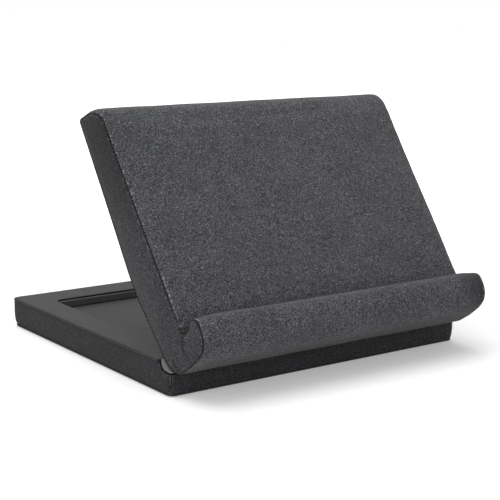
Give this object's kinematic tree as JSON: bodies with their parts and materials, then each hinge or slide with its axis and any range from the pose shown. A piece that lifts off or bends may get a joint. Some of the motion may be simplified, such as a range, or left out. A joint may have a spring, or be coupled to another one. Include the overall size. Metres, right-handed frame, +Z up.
{
  "type": "tablet cushion stand",
  "caption": "Padded tablet stand: a soft tray base with a padded back panel and front lip that tilts on hidden friction hinges and folds flat.",
  "frame": {"origin": "centre of the base's underside, where it rests", "axes": "+X to the right along the hinge axis, +Y to the back, +Z up"},
  "size_m": [0.272, 0.292, 0.1933],
  "materials": {
    "plush": "short dark grey plush with lighter speckle",
    "plush_gusset": "short dark grey plush, seen a little darker on the ends",
    "plush_base": "dark grey plush band and underside",
    "smooth_top": "smooth matte grey cloth bonded over the foam",
    "joint_strip": "smooth light grey cloth",
    "foam": "open-cell cushion foam, hidden inside",
    "board": "thin hardboard stiffener, hidden inside",
    "steel": "plain steel hinges and rivets, hidden inside"
  },
  "bodies": {
    "base": {"base_board": "board", "base_foam": "foam", "base_side_band": "plush_base", "base_top_cover": "smooth_top", "base_underside_cover": "plush_base", "joint_strip": "joint_strip", "tray_floor_lining": "smooth_top", "tray_wall_lining": "smooth_top", "left_hinge_base_leaf": "steel", "left_hinge_pin": "steel", "left_friction_washer_inner": "steel", "left_friction_washer_outer": "steel", "left_base_rivet_1": "steel", "left_base_rivet_2": "steel", "left_base_rivet_3": "steel", "right_hinge_base_leaf": "steel", "right_hinge_pin": "steel", "right_friction_washer_inner": "steel", "right_friction_washer_outer": "steel", "right_base_rivet_1": "steel", "right_base_rivet_2": "steel", "right_base_rivet_3": "steel"},
    "panel": {"panel_board": "board", "panel_front_foam": "foam", "panel_back_foam": "foam", "lip_foam": "foam", "panel_wrap_cover": "plush", "left_end_gusset": "plush_gusset", "left_hinge_panel_leaf": "steel", "left_panel_rivet_1": "steel", "left_panel_rivet_2": "steel", "left_panel_rivet_3": "steel", "right_end_gusset": "plush_gusset", "right_hinge_panel_leaf": "steel", "right_panel_rivet_1": "steel", "right_panel_rivet_2": "steel", "right_panel_rivet_3": "steel"}
  },
  "joints": [
    {"name": "panel_tilt", "type": "hinge", "parent": "base", "child": "panel", "pos_m": [0, -0.1091, 0.0433], "axis": [1, 0, 0], "range_deg": [-57.5, 0]}
  ]
}
